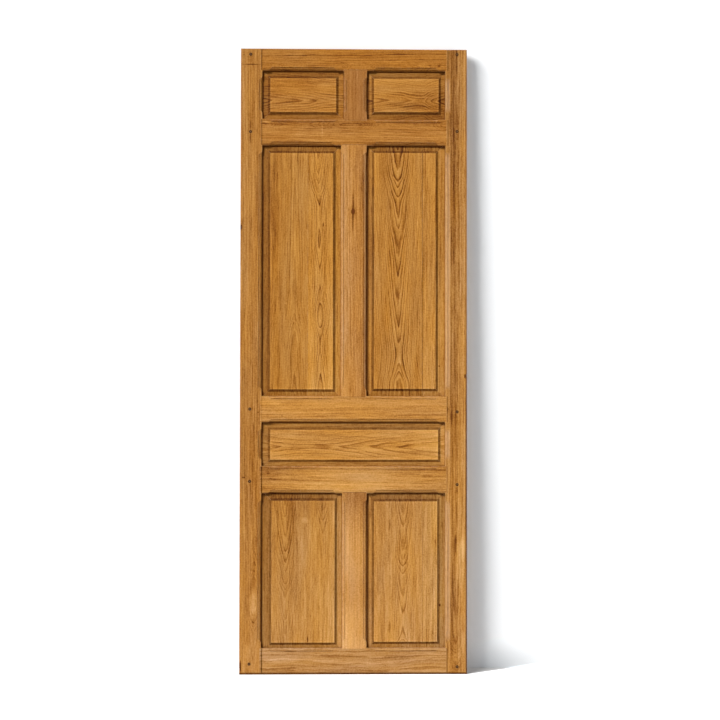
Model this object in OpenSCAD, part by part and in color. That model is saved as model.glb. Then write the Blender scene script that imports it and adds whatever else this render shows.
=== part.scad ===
// Interior door leaf: a pinned mortise and tenon frame around seven raised and fielded panels.
// The leaf stands upright on its bottom edge, centred on X, with its front face towards -Y.

/* [Leaf] */
// Width over both stiles
door_w = 762; // [680:1:900]
// Height of the stiles
door_h = 2100; // [1900:1:2300]
// Thickness of the framing
door_t = 32; // [28:1:46]

/* [Stiles and muntins] */
// Width of the left stile
left_stile_w = 72; // [60:1:100]
// Width of the right stile
right_stile_w = 73; // [60:1:100]
// Width of the muntin between the two small panels at the top
top_muntin_w = 78; // [60:1:100]
// Width of the muntin between the two tall panels
middle_muntin_w = 86; // [60:1:100]
// Width of the muntin between the two lower panels
bottom_muntin_w = 82; // [60:1:100]
// How far the top muntin stands to the right of the middle of the rails
top_muntin_shift = 5; // [0:0.5:20]
// How far the bottom muntin stands to the right of the middle of the rails
bottom_muntin_shift = 3.5; // [0:0.5:20]

/* [Rails and openings] */
// Height of the top rail
top_rail_h = 73; // [60:1:100]
// Height of the rail below the two small panels
frieze_rail_h = 89; // [60:1:110]
// Height of the rail above the lock panel
upper_lock_rail_h = 88; // [60:1:110]
// Height of the rail below the lock panel
lower_lock_rail_h = 91; // [60:1:110]
// Height of the bottom rail
bottom_rail_h = 87; // [60:1:140]
// Clear height of the two openings at the top
top_opening_h = 164; // [130:1:240]
// Clear height of the opening between the two lock rails
lock_opening_h = 147; // [130:1:220]
// Clear height of the two lower openings
lower_opening_h = 517; // [400:1:600]

/* [Joinery] */
// Width of the panel groove, which is also the thickness of the tenons
groove_w = 14; // [10:0.5:16]
// Depth of the panel groove
groove_d = 12; // [8:0.5:14]
// Length of the stub tenons at the ends of the muntins
stub_tenon_l = 28; // [18:1:32]
// Shoulder that keeps the outermost tenons clear of the ends of the stiles
end_shoulder = 6; // [3:0.5:10]
// How far the shoulders of the joints lie behind the moulded edges
shoulder_set = 4; // [1:0.5:6]
// Diameter of the pegs
peg_d = 9; // [6:0.5:12]
// Distance of the pegs from the outer edges of the stiles
peg_inset = 33; // [25:1:40]
// Clearance round a tenon in its mortise and round a peg in its bore
joint_fit = 0.1; // [0.05:0.05:0.3]

/* [Panels] */
// Nominal width of the sunk margin round a field
panel_margin = 27; // [24:0.5:34]
// Depth of the field below the face of the framing
field_sink = 1.5; // [0.5:0.5:4]
// Upright fillet at the edge of the field
field_fillet = 0.5; // [0.2:0.1:1.5]
// Width of the steep slope below that fillet
slope_w = 8.5; // [4:0.5:10]
// Depth of the foot of that slope below the face of the framing
slope_foot_sink = 6.8; // [5:0.1:8]
// Clearance on each face of a panel's tongue in its groove
tongue_fit = 0.2; // [0.1:0.05:0.4]
// Room left for a panel to swell at each side
side_play = 2; // [0.5:0.5:4]
// Room left for a panel to swell at its top
top_play = 3; // [0.5:0.5:5]
// Distance of the glued seam in the tall left panel from the left stile
left_seam_inset = 154; // [120:1:190]
// Distance of the glued seams in the two right panels from the right stile
right_seam_inset = 78; // [60:1:120]

/* [Stopped mouldings] */
// Width and depth of the quarter-round bead
bead_w = 8; // [5:0.5:8]
// Drop from the face to the top of the bead
bead_drop = 0.6; // [0.4:0.1:1.2]
// Width of the quirk beside the bead
bead_quirk_w = 3; // [1:0.25:4]
// Depth of the quirk beside the bead
bead_quirk_d = 2; // [1.4:0.1:4]
// Plain length left at each end of a moulding
stop_gap = 22; // [15:1:35]

/* [Wear] */
// Radius of the chip in the front right arris
chip_r = 9; // [5:0.5:14]
// Depth of that chip
chip_d = 2.4; // [1:0.1:3]

/* [Hidden] */
// Height of each peg as a share of its rail's height, from the bottom rail up
left_peg_shares = [0.4, 0.44, 0.5, 0.51, 0.74];
right_peg_shares = [0.28, 0.32, 0.4, 0.55, 0.78];
// Height of the chip as a share of the door's height
chip_height_share = 0.476;
// Margins of each panel as shares of the nominal one: left, right, bottom and top
top_left_margin_shares = [1, 0.96, 0.88, 0.97];
top_right_margin_shares = [0.91, 0.83, 0.94, 0.98];
upper_left_margin_shares = [1.04, 0.98, 0.83, 0.98];
upper_right_margin_shares = [0.97, 1.2, 0.91, 0.92];
lock_margin_shares = [1.1, 0.89, 0.8, 0.95];
lower_left_margin_shares = [1.29, 0.93, 0.69, 0.93];
lower_right_margin_shares = [0.95, 1.01, 0.77, 1.02];
// How far a cut runs past the surface it opens
overrun = 1;
$fn = 64;

// Edges of the framing
left_edge = -door_w / 2;
right_edge = door_w / 2;
inner_left = left_edge + left_stile_w;
inner_right = right_edge - right_stile_w;
rails_middle = (inner_left + inner_right) / 2;
moulding_w = bead_w + bead_quirk_w;

// Heights of the rails, each as its lower and upper edge
bottom_rail_z = [0, bottom_rail_h];
lower_lock_bottom = bottom_rail_h + lower_opening_h;
lower_lock_z = [lower_lock_bottom, lower_lock_bottom + lower_lock_rail_h];
upper_lock_bottom = lower_lock_z[1] + lock_opening_h;
upper_lock_z = [upper_lock_bottom, upper_lock_bottom + upper_lock_rail_h];
top_rail_z = [door_h - top_rail_h, door_h];
frieze_top = top_rail_z[0] - top_opening_h;
frieze_z = [frieze_top - frieze_rail_h, frieze_top];
rails_z = [bottom_rail_z, lower_lock_z, upper_lock_z, frieze_z, top_rail_z];

// Sides of the muntins, each as its left and right edge
function muntin_x(width, shift) = [rails_middle + shift - width / 2, rails_middle + shift + width / 2];
top_muntin_x = muntin_x(top_muntin_w, top_muntin_shift);
middle_muntin_x = muntin_x(middle_muntin_w, 0);
bottom_muntin_x = muntin_x(bottom_muntin_w, bottom_muntin_shift);

// Openings, each as its left, right, bottom and top edge
top_left = [inner_left, top_muntin_x[0], frieze_z[1], top_rail_z[0]];
top_right = [top_muntin_x[1], inner_right, frieze_z[1], top_rail_z[0]];
upper_left = [inner_left, middle_muntin_x[0], upper_lock_z[1], frieze_z[0]];
upper_right = [middle_muntin_x[1], inner_right, upper_lock_z[1], frieze_z[0]];
lock = [inner_left, inner_right, lower_lock_z[1], upper_lock_z[0]];
lower_left = [inner_left, bottom_muntin_x[0], bottom_rail_z[1], lower_lock_z[0]];
lower_right = [bottom_muntin_x[1], inner_right, bottom_rail_z[1], lower_lock_z[0]];

// Glued seams between the boards of the wide panels
left_seam_x = inner_left + left_seam_inset;
right_seam_x = inner_right - right_seam_inset;

// A box between two sides, two heights and the same distance to the front and the back
module slab(xs, zs, thickness) {
    translate([xs[0], -thickness / 2, zs[0]])
        cube([xs[1] - xs[0], thickness, zs[1] - zs[0]]);
}

// Places a cut on one side of an opening: X runs along the edge and Z points into the framing
module on_side(opening, side) {
    angle = side == "top" ? 0 : side == "bottom" ? 180 : side == "left" ? -90 : 90;
    x = side == "top" || side == "left" ? opening[0] : opening[1];
    z = side == "top" || side == "right" ? opening[3] : opening[2];
    translate([x, 0, z]) rotate([0, angle, 0]) children();
}

function side_length(opening, side) =
    side == "top" || side == "bottom" ? opening[1] - opening[0] : opening[3] - opening[2];

// Section that a moulding takes off the front arris: depth along X, width along Y
module moulding_section() {
    translate([-overrun, bead_w]) square([bead_quirk_d + overrun, bead_quirk_w]);
    difference() {
        translate([-overrun, -overrun])
            square([bead_drop + bead_w + overrun, bead_w + overrun]);
        translate([bead_drop + bead_w, bead_w]) circle(r = bead_w);
    }
}

// The mouldings on both faces of an edge, ending in mitred stops short of the corners
module stopped_mouldings(length) {
    reach = moulding_w + overrun;
    intersection() {
        for (face = [0, 1])
            mirror([0, face, 0])
                translate([0, -door_t / 2, 0])
                    rotate([90, 0, 90]) linear_extrude(length) moulding_section();
        rotate([90, 0, 0])
            linear_extrude(door_t + 2 * overrun, center = true)
                polygon([
                    [stop_gap - overrun, -overrun],
                    [length - stop_gap + overrun, -overrun],
                    [length - stop_gap - reach, reach],
                    [stop_gap + reach, reach]
                ]);
    }
}

// What is cut from the framing along one side of an opening: the panel groove and the mouldings
module edge_cut(opening, side) {
    length = side_length(opening, side);
    on_side(opening, side) {
        slab([-groove_d, length + groove_d], [-overrun, groove_d], groove_w);
        stopped_mouldings(length);
    }
}

// Height of a rail's tenon: it stops short of the grooves and of the ends of the stiles
function tenon_z(rail_z) = [
    rail_z[0] + (rail_z[0] == 0 ? end_shoulder : groove_d),
    rail_z[1] - (rail_z[1] == door_h ? end_shoulder : groove_d)
];

// Places a peg or its bore through every joint of one stile
module at_pegs(x, shares) {
    for (i = [0 : len(rails_z) - 1])
        translate([x, 0, rails_z[i][0] + shares[i] * (rails_z[i][1] - rails_z[i][0])])
            rotate([90, 0, 0]) children();
}

module peg_bore() {
    cylinder(d = peg_d + 2 * joint_fit, h = door_t + 2 * overrun, center = true);
}

module all_peg_bores() {
    at_pegs(left_edge + peg_inset, left_peg_shares) peg_bore();
    at_pegs(right_edge - peg_inset, right_peg_shares) peg_bore();
}

// A stile: grooved, moulded, notched and mortised right through for each rail, bored for the pegs
module stile(stile_x, side, openings) {
    notch_x = side == "left"
        ? [stile_x[1] - shoulder_set, stile_x[1] + overrun]
        : [stile_x[0] - overrun, stile_x[0] + shoulder_set];
    difference() {
        slab(stile_x, [0, door_h], door_t);
        for (opening = openings)
            edge_cut(opening, side);
        for (rail_z = rails_z) {
            slab(notch_x, rail_z, door_t + 2 * overrun);
            slab([stile_x[0] - overrun, stile_x[1] + overrun], tenon_z(rail_z), groove_w);
        }
        all_peg_bores();
    }
}

// A rail: through tenons at both ends, grooves and mouldings, notches and mortises for the muntins
module rail(rail_z, openings_below, openings_above, muntins_below, muntins_above) {
    tenon = tenon_z(rail_z);
    difference() {
        union() {
            slab([inner_left - shoulder_set, inner_right + shoulder_set], rail_z, door_t);
            slab([left_edge, right_edge], [tenon[0] + joint_fit, tenon[1] - joint_fit],
                groove_w - 2 * joint_fit);
        }
        for (opening = openings_below)
            edge_cut(opening, "top");
        for (opening = openings_above)
            edge_cut(opening, "bottom");
        for (xs = muntins_below) {
            slab(xs, [rail_z[0] - overrun, rail_z[0] + shoulder_set], door_t + 2 * overrun);
            slab([xs[0] + groove_d, xs[1] - groove_d],
                [rail_z[0] - overrun, rail_z[0] + stub_tenon_l + joint_fit], groove_w);
        }
        for (xs = muntins_above) {
            slab(xs, [rail_z[1] - shoulder_set, rail_z[1] + overrun], door_t + 2 * overrun);
            slab([xs[0] + groove_d, xs[1] - groove_d],
                [rail_z[1] - stub_tenon_l - joint_fit, rail_z[1] + overrun], groove_w);
        }
        all_peg_bores();
    }
}

// A muntin: a stub tenon at each end, grooves and mouldings on both sides
module muntin(xs, opening_left, opening_right) {
    zs = [opening_left[2], opening_left[3]];
    difference() {
        union() {
            slab(xs, [zs[0] - shoulder_set, zs[1] + shoulder_set], door_t);
            slab([xs[0] + groove_d + joint_fit, xs[1] - groove_d - joint_fit],
                [zs[0] - stub_tenon_l, zs[1] + stub_tenon_l], groove_w - 2 * joint_fit);
        }
        edge_cut(opening_left, "right");
        edge_cut(opening_right, "left");
    }
}

// Section of a panel across an opening: tongue, flat bevel, steep slope, fillet and field, the same on
// both faces. Distances run along X and thickness along Y.
module panel_section(low, high, low_margin, high_margin, low_end, high_end) {
    tongue = groove_w / 2 - tongue_fit;
    field = door_t / 2 - field_sink;
    slope_foot = door_t / 2 - slope_foot_sink;
    front = [
        [low_end, tongue],
        [low, tongue],
        [low + low_margin - slope_w, slope_foot],
        [low + low_margin, field - field_fillet],
        [low + low_margin, field],
        [high - high_margin, field],
        [high - high_margin, field - field_fillet],
        [high - high_margin + slope_w, slope_foot],
        [high, tongue],
        [high_end, tongue]
    ];
    back = [for (i = [len(front) - 1 : -1 : 0]) [front[i][0], -front[i][1]]];
    polygon(concat(front, back));
}

// A raised and fielded panel: the section along X crossed with the section along Z, which mitres
// the corners. It rests on the floor of the groove below it.
module panel(opening, margin_shares) {
    margins = panel_margin * margin_shares;
    x_ends = [opening[0] - groove_d + side_play, opening[1] + groove_d - side_play];
    z_ends = [opening[2] - groove_d, opening[3] + groove_d - top_play];
    intersection() {
        translate([0, 0, z_ends[0]])
            linear_extrude(z_ends[1] - z_ends[0])
                panel_section(opening[0], opening[1], margins[0], margins[1], x_ends[0], x_ends[1]);
        rotate([0, -90, 0])
            linear_extrude(door_w, center = true)
                panel_section(opening[2], opening[3], margins[2], margins[3], z_ends[0], z_ends[1]);
    }
}

// The part of a panel that lies on one side of a glued seam
module panel_board(opening, margin_shares, xs) {
    intersection() {
        panel(opening, margin_shares);
        slab(xs, [0, door_h], door_t);
    }
}

module left_stile() {
    color("#b8823f")
        stile([left_edge, inner_left], "left", [top_left, upper_left, lock, lower_left]);
}

module right_stile() {
    color("#bd8844")
        difference() {
            stile([inner_right, right_edge], "right", [top_right, upper_right, lock, lower_right]);
            translate([right_edge + chip_r - chip_d, -door_t / 2, chip_height_share * door_h])
                sphere(r = chip_r);
        }
}

module top_rail() {
    color("#b57d3a") rail(top_rail_z, [top_left, top_right], [], [top_muntin_x], []);
}

module frieze_rail() {
    color("#b9813d")
        rail(frieze_z, [upper_left, upper_right], [top_left, top_right],
            [middle_muntin_x], [top_muntin_x]);
}

module upper_lock_rail() {
    color("#bf8843") rail(upper_lock_z, [lock], [upper_left, upper_right], [], [middle_muntin_x]);
}

module lower_lock_rail() {
    color("#bd8641") rail(lower_lock_z, [lower_left, lower_right], [lock], [bottom_muntin_x], []);
}

module bottom_rail() {
    color("#b98240") rail(bottom_rail_z, [], [lower_left, lower_right], [], [bottom_muntin_x]);
}

module top_muntin() {
    color("#ae7838") muntin(top_muntin_x, top_left, top_right);
}

module middle_muntin() {
    color("#bd8846") muntin(middle_muntin_x, upper_left, upper_right);
}

module bottom_muntin() {
    color("#bf8842") muntin(bottom_muntin_x, lower_left, lower_right);
}

module top_left_panel() {
    color("#b47b35") panel(top_left, top_left_margin_shares);
}

module top_right_panel() {
    color("#b27a37") panel(top_right, top_right_margin_shares);
}

module upper_left_panel_outer_board() {
    color("#b9813a") panel_board(upper_left, upper_left_margin_shares, [left_edge, left_seam_x]);
}

module upper_left_panel_inner_board() {
    color("#bb833c") panel_board(upper_left, upper_left_margin_shares, [left_seam_x, rails_middle]);
}

module upper_right_panel_inner_board() {
    color("#b37d3c") panel_board(upper_right, upper_right_margin_shares, [rails_middle, right_seam_x]);
}

module upper_right_panel_outer_board() {
    color("#bd863f") panel_board(upper_right, upper_right_margin_shares, [right_seam_x, right_edge]);
}

module lock_panel() {
    color("#c08a42") panel(lock, lock_margin_shares);
}

module lower_left_panel() {
    color("#b67f3b") panel(lower_left, lower_left_margin_shares);
}

module lower_right_panel_inner_board() {
    color("#bb8440") panel_board(lower_right, lower_right_margin_shares, [rails_middle, right_seam_x]);
}

module lower_right_panel_outer_board() {
    color("#c08a45") panel_board(lower_right, lower_right_margin_shares, [right_seam_x, right_edge]);
}

module joint_pegs() {
    color("#6b4420") {
        at_pegs(left_edge + peg_inset, left_peg_shares)
            cylinder(d = peg_d, h = door_t, center = true);
        at_pegs(right_edge - peg_inset, right_peg_shares)
            cylinder(d = peg_d, h = door_t, center = true);
    }
}

left_stile();
right_stile();
top_rail();
frieze_rail();
upper_lock_rail();
lower_lock_rail();
bottom_rail();
top_muntin();
middle_muntin();
bottom_muntin();
top_left_panel();
top_right_panel();
upper_left_panel_outer_board();
upper_left_panel_inner_board();
upper_right_panel_inner_board();
upper_right_panel_outer_board();
lock_panel();
lower_left_panel();
lower_right_panel_inner_board();
lower_right_panel_outer_board();
joint_pegs();
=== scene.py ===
"""Looks of an old waxed pine door leaf: per-board wood figure, wear, stage, light and camera."""
from collections import namedtuple
from math import radians

import bpy
from mathutils import Matrix, Vector


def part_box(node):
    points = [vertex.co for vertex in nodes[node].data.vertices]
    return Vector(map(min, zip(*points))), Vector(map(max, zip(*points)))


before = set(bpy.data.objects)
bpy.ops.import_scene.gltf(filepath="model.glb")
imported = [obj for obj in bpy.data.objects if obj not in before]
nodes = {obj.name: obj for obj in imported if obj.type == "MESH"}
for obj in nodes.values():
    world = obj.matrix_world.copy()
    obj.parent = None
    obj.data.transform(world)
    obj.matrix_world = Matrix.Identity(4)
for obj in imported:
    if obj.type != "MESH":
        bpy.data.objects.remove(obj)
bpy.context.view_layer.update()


def linear(rgb):
    """Linear colour of an sRGB colour given as 0 to 255."""
    out = []
    for value in rgb:
        share = value / 255
        out.append(share / 12.92 if share <= 0.04045 else ((share + 0.055) / 1.055) ** 2.4)
    return (*out, 1)


class Graph:
    """Builds the node tree of one material from small expressions."""

    def __init__(self, name):
        self.material = bpy.data.materials.new(name)
        self.material.use_nodes = True
        self.tree = self.material.node_tree
        self.tree.nodes.clear()

    def node(self, kind, **settings):
        made = self.tree.nodes.new(kind)
        for key, value in settings.items():
            setattr(made, key, value)
        return made

    def put(self, socket, value):
        """Links a socket, or writes a constant into it."""
        if isinstance(value, bpy.types.NodeSocket):
            self.tree.links.new(value, socket)
        else:
            socket.default_value = value

    def math(self, operation, a, b=None, c=None):
        made = self.node("ShaderNodeMath", operation=operation)
        for socket, value in zip(made.inputs, (a, b, c)):
            if value is not None:
                self.put(socket, value)
        return made.outputs[0]

    def add(self, *values):
        total = values[0]
        for value in values[1:]:
            total = self.math("ADD", total, value)
        return total

    def mul(self, a, b):
        return self.math("MULTIPLY", a, b)

    def sub(self, a, b):
        return self.math("SUBTRACT", a, b)

    def most(self, a, b):
        return self.math("MAXIMUM", a, b)

    def away(self, a, b):
        """Distance between two values."""
        return self.math("ABSOLUTE", self.sub(a, b))

    def within(self, value, low, high, soft):
        """One between low and high, falling to zero at both ends."""
        half = (high - low) / 2
        return self.fit(self.away(value, (low + high) / 2), half - soft, half, 1.0, 0.0)

    def fit(self, value, low, high, to_low=0.0, to_high=1.0, smooth=False):
        made = self.node("ShaderNodeMapRange", clamp=True)
        made.interpolation_type = "SMOOTHSTEP" if smooth else "LINEAR"
        for socket, item in zip(made.inputs, (value, low, high, to_low, to_high)):
            self.put(socket, item)
        return made.outputs[0]

    def vector(self, x, y, z):
        made = self.node("ShaderNodeCombineXYZ")
        for socket, value in zip(made.inputs, (x, y, z)):
            self.put(socket, value)
        return made.outputs[0]

    def split(self, vector):
        made = self.node("ShaderNodeSeparateXYZ")
        self.put(made.inputs[0], vector)
        return made.outputs

    def cell(self, across, along, waves, layer):
        """Coordinates for a noise with so many waves across the grain and along it."""
        return self.vector(self.mul(across, waves[0]), layer, self.mul(along, waves[1]))

    def noise(self, vector, scale=1.0, detail=2.0, roughness=0.5):
        made = self.node("ShaderNodeTexNoise", noise_dimensions="3D")
        self.put(made.inputs["Vector"], vector)
        made.inputs["Scale"].default_value = scale
        made.inputs["Detail"].default_value = detail
        made.inputs["Roughness"].default_value = roughness
        return made.outputs[0]

    def signed(self, vector, scale=1.0, detail=2.0, roughness=0.5):
        """Noise about zero, from about -1 to 1."""
        return self.math("MULTIPLY_ADD", self.noise(vector, scale, detail, roughness), 2.0, -1.0)

    def random(self, value):
        made = self.node("ShaderNodeTexWhiteNoise", noise_dimensions="1D")
        self.put(made.inputs["W"], value)
        return made.outputs["Value"]

    def curve(self, value, points):
        """A smooth curve through points of any range."""
        xs = [p[0] for p in points]
        ys = [p[1] for p in points]
        x_low, x_high = min(xs), max(xs)
        y_low, y_high = min(ys), max(ys)
        y_span = max(y_high - y_low, 1e-6)
        made = self.node("ShaderNodeFloatCurve")
        line = made.mapping.curves[0]
        while len(line.points) < len(points):
            line.points.new(0.5, 0.5)
        for point, (x, y) in zip(line.points, sorted(points)):
            point.location = ((x - x_low) / (x_high - x_low), (y - y_low) / y_span)
            point.handle_type = "AUTO_CLAMPED"
        made.mapping.extend = "HORIZONTAL"
        made.mapping.update()
        self.put(made.inputs["Value"], self.fit(value, x_low, x_high))
        return self.math("MULTIPLY_ADD", made.outputs[0], y_span, y_low)

    def ramp(self, value, stops):
        made = self.node("ShaderNodeValToRGB")
        elements = made.color_ramp.elements
        while len(elements) < len(stops):
            elements.new(0.5)
        for element, (position, colour) in zip(elements, stops):
            element.position = position
            element.color = colour
        self.put(made.inputs[0], value)
        return made.outputs[0]

    def blend(self, share, a, b, kind="MIX"):
        made = self.node("ShaderNodeMix", data_type="RGBA", blend_type=kind)
        self.put(made.inputs["Factor"], share)
        self.put(made.inputs["A"], a)
        self.put(made.inputs["B"], b)
        return made.outputs["Result"]

    def finish(self, shader):
        out = self.node("ShaderNodeOutputMaterial")
        self.tree.links.new(shader, out.inputs["Surface"])
        return self.material


# Wood tones shared by all boards, from late wood to early wood
WOOD_STOPS = [
    (0.0, linear((104, 54, 12))),
    (0.25, linear((150, 92, 31))),
    (0.5, linear((186, 127, 55))),
    (0.75, linear((206, 149, 76))),
    (1.0, linear((226, 174, 104))),
]
MEAN_TONE = linear((186, 127, 55))
MEAN_VALUE = 0.53
# Shares that multiply the colour: two hues of wood, dirt with painted shade, and a painted highlight on the
# rim of a field
GOLDEN_SHARES = (1.04, 1.0, 0.82, 1)
ROSY_SHARES = (0.97, 1.0, 1.22, 1)
DIRT_AND_SHADE_SHARES = (0.24, 0.17, 0.09, 1)
RIM_HIGHLIGHT_SHARES = (1.14, 1.16, 1.2, 1)
# Residue of old finish, and the wood that wear lays bare
PALE = linear((214, 172, 126))
PALE_SHARE = 0.3
MM = 0.001

# What a board's figure is where FIGURES doesn't say otherwise
FIGURE_DEFAULTS = dict(
    sway=0.006, ripple=0.003, rounding=0.006, spacing=0.008, uneven=0.8, onset=0.5, least=0.3, reach=0.04,
    flank=0.3, late=0.5, early=0.1, fine=1.0)

# Waves of noise to a metre, across the grain and along it
SLOW_WAVES = (5.0, 2.0)
RIPPLE_WAVES = (24.0, 10.0)
FRAY_WAVES = (150.0, 30.0)
GAP_WAVES = (90.0, 16.0)
PATCH_WAVES = (13.0, 5.0)
FLECK_WAVES = (380.0, 42.0)
HUE_WAVES = (22.0, 4.0)
# Waves to a ring, and to a metre along the grain
UNEVEN_WAVES = (0.61, 0.7)
# Waves to a metre across, through and along a board, and the same in all directions
DASH_WAVES = (260.0, 60.0, 40.0)
SPECK_WAVES = 200.0
GRIME_WAVES = 70.0
# What sets the noises of one board apart from each other
LAYERS = {"ripple": 7.3, "fray": 3.1, "gaps": 9.7, "patch": 5.9, "flecks": 1.7, "hue": 8.8}

# Year rings: how far they fray, and how depth turns them, so that edges and back differ from the front
FRAY = 0.18
RINGS_PER_DEPTH = 30.0
FIRST_RING = 200.0
YEAR_SEED = 3.7
STRENGTH_POWER = 1.2
# Shares of a ring at which late wood is full, starts to end and has ended, and early wood has ended
LATE_FULL_SHARE = 0.86
LATE_END_SHARES = (0.88, 1.0)
EARLY_END_SHARE = 0.4
# Where the noise of the gaps is low, late wood keeps only a share of its strength
GAP_LEVELS = (0.3, 0.6)
GAP_SHARE = 0.3
NEAR_AXIS = 0.01


def figure_lines(g, figure, spot):
    """Late wood and early wood of the year rings, and the slow bend that the streaks follow."""
    seed = figure["seed"]
    across, along = spot.across, spot.along
    slow = g.signed(g.cell(across, along, SLOW_WAVES, seed), detail=1.0)
    ripples = g.signed(g.cell(across, along, RIPPLE_WAVES, seed + LAYERS["ripple"]))
    wander = g.add(g.mul(slow, figure["sway"]), g.mul(ripples, figure["ripple"]))
    axis = figure["axis"][0][1]
    if len(figure["axis"]) > 1:
        axis = g.curve(along, figure["axis"])
    off = g.add(g.sub(across, axis), wander)
    rounding = figure["rounding"]
    flank = g.sub(g.math("SQRT", g.math("MULTIPLY_ADD", off, off, rounding ** 2)), rounding)
    if "curl" in figure:
        flank = g.math("MULTIPLY_ADD", g.mul(flank, flank), 1 / figure["curl"], flank)
    taper = g.curve(along, figure["tips"])
    turn = g.mul(g.math("ABSOLUTE", spot.y), RINGS_PER_DEPTH)
    ring = g.add(g.mul(flank, 1 / figure["spacing"]), taper, turn, FIRST_RING)
    uneven = g.signed(g.cell(ring, along, UNEVEN_WAVES, seed), detail=1.0)
    frayed = g.signed(g.cell(across, along, FRAY_WAVES, seed + LAYERS["fray"]))
    ring = g.add(ring, g.mul(uneven, figure["uneven"]), g.mul(frayed, FRAY))
    year = g.math("FLOOR", ring)
    phase = g.math("FRACT", ring)
    strength = g.math("POWER", g.random(g.add(year, seed * YEAR_SEED)), STRENGTH_POWER)
    rise = g.fit(phase, figure["onset"], LATE_FULL_SHARE, smooth=True)
    late = g.mul(rise, g.fit(phase, *LATE_END_SHARES, 1.0, 0.0, smooth=True))
    late = g.mul(late, g.fit(strength, 0.0, 1.0, figure["least"], 1.0))
    gaps = g.noise(g.cell(across, along, GAP_WAVES, seed + LAYERS["gaps"]))
    late = g.mul(late, g.fit(gaps, *GAP_LEVELS, GAP_SHARE, 1.0))
    near = g.fit(g.math("ABSOLUTE", off), NEAR_AXIS, figure["reach"], 1.0, figure["flank"], smooth=True)
    early = g.mul(g.fit(phase, 0.0, EARLY_END_SHARE, 1.0, 0.0, smooth=True), near)
    return g.mul(late, near), early, wander


# Streaks along the grain: how many to a metre across and along, and how strong
STREAKS = (
    (26.0, 1.2, 0.1),
    (70.0, 3.0, 0.15),
    (140.0, 6.0, 0.2),
    (250.0, 12.0, 0.26),
    (460.0, 30.0, 0.22),
)
STREAK_BEND_SHARE = 0.5
STREAK_LAYER = 4.1
STREAK_ROUGHNESS = 0.6


def streaks(g, seed, spot, wander):
    """Long soft streaks, finer ones, and fibres, all along the grain."""
    moved = g.math("MULTIPLY_ADD", wander, STREAK_BEND_SHARE, spot.across)
    total = 0.0
    for count, (width, length, weight) in enumerate(STREAKS):
        layer = g.math("MULTIPLY_ADD", spot.y, width, seed + count * STREAK_LAYER)
        cell = g.cell(moved, spot.along, (width, length), layer)
        total = g.add(g.mul(g.signed(cell, roughness=STREAK_ROUGHNESS), weight), total)
    return total


# How far the edges of a field and the mitres between its margins are softened
FIELD_SOFT = 0.0006
MITRE_SOFT = 0.0004
MITRE_LINE = (0.0002, 0.0016)


def margins_of(g, spot, field):
    """Distance beyond the field, the margin on each side of it, and the mitres between them."""
    x0, x1, z0, z1 = field
    left, right = g.sub(x0, spot.x), g.sub(spot.x, x1)
    bottom, top = g.sub(z0, spot.z), g.sub(spot.z, z1)
    sideways = g.most(left, right)
    upright = g.most(bottom, top)
    beyond = g.most(sideways, upright)
    outside = g.fit(beyond, 0.0, FIELD_SOFT)
    lead = g.sub(upright, sideways)
    upright_share = g.mul(g.fit(lead, -MITRE_SOFT, MITRE_SOFT), outside)
    sideways_share = g.sub(outside, upright_share)
    shares = {
        "left": g.mul(sideways_share, g.math("GREATER_THAN", left, right)),
        "right": g.mul(sideways_share, g.math("GREATER_THAN", right, left)),
        "bottom": g.mul(upright_share, g.math("GREATER_THAN", bottom, top)),
        "top": g.mul(upright_share, g.math("GREATER_THAN", top, bottom)),
    }
    mitre = g.mul(g.fit(g.math("ABSOLUTE", lead), *MITRE_LINE, 1.0, 0.0), outside)
    return beyond, shares, mitre


# Patina round a field: how dark the slope and the margin on each side are. The heavier left and top margins,
# beside and under the frame, are painted shade as well as patina
SLOPE_PATINA = {"left": 0.78, "right": 0.72, "bottom": 0.8, "top": 0.85}
MARGIN_PATINA_AND_SHADE = {"left": 0.45, "right": 0.05, "bottom": 0.25, "top": 0.55}
MARGIN_CHANGES = {
    "top_right": {"left": 0.25, "right": 0.2},
    "upper_right": {"left": 0.22},
    "lower_right": {"left": 0.22, "right": 0.35},
}
# Distances from the field over which the slope ends, and over which the painted highlight on the field's rim
# begins inside it
SLOPE_END = (0.0073, 0.0093)
RIM_HIGHLIGHT_START = (-0.009, -0.001)
# How far painted shadow and dirt reach into an opening from its left and top edges, and dirt and painted
# shade from its right edge
STILE_CORNER = 0.006
MUNTIN_CORNER = 0.0085
CORNER_SOFT = 0.003
RIGHT_REACH = (0.0015, 0.0045)
RIGHT_CREVICE_DARK = 0.4
# Levels of the grime noise between which dirt, painted shade or residue changes, and the shares it changes
# between
WIDE_LEVELS = (0.25, 0.75)
GRIME_LEVELS = (0.3, 0.7)
RESIDUE_LEVELS = (0.35, 0.65)
MITRE_LEVELS = (0.42, 0.6)
STRIP_LEVELS = (0.2, 0.6)
WORN_LEVELS = (0.42, 0.7)
PATINA_SHARES = (0.75, 1.15)
HOLLOW_SHARES = (0.7, 1.0)
LIT_SIDE_SHARES = (0.5, 0.28)
EAVES_SHARES = (0.75, 1.0)
HALO_SHARES = (0.5, 1.0)
STRIP_SHARES = (0.8, 1.6)
SEAM_LEAST_SHARE = 0.75


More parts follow.
